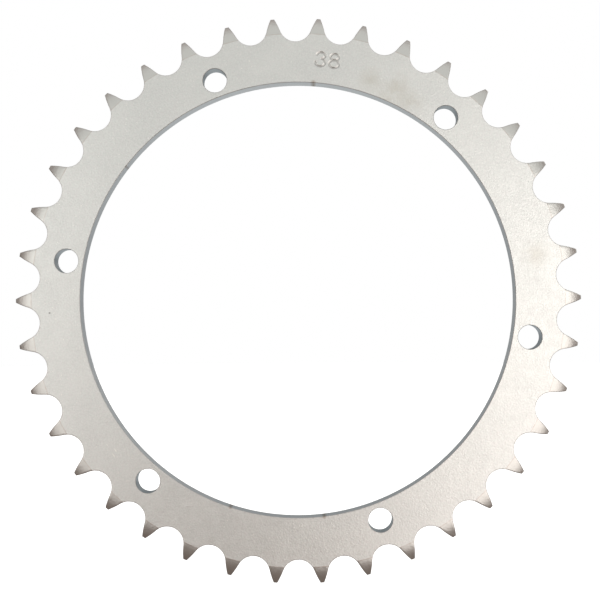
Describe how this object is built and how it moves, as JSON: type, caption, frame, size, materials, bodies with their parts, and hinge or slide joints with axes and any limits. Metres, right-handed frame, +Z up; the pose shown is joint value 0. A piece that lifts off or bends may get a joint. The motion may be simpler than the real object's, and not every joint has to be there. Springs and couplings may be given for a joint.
{
  "type": "rear sprocket",
  "caption": "Flat toothed ring plate that a motorcycle's drive chain turns, with a large plain bore and a circle of bolt holes beside it.",
  "frame": {"origin": "on the axle line, at the centre of the bore, halfway through the plate's thickness", "axes": "+Y along the axle line, from the stamped outer face towards the wheel; +Z up, through the middle of a tooth gap; +X through the middle of a tooth"},
  "size_m": [0.1996, 0.0058, 0.199],
  "materials": {
    "zinc_plated_steel": "satin zinc plate on blasted steel, with a fine even grain"
  },
  "bodies": {
    "root": {"sprocket_ring": "zinc_plated_steel"}
  },
  "joints": []
}
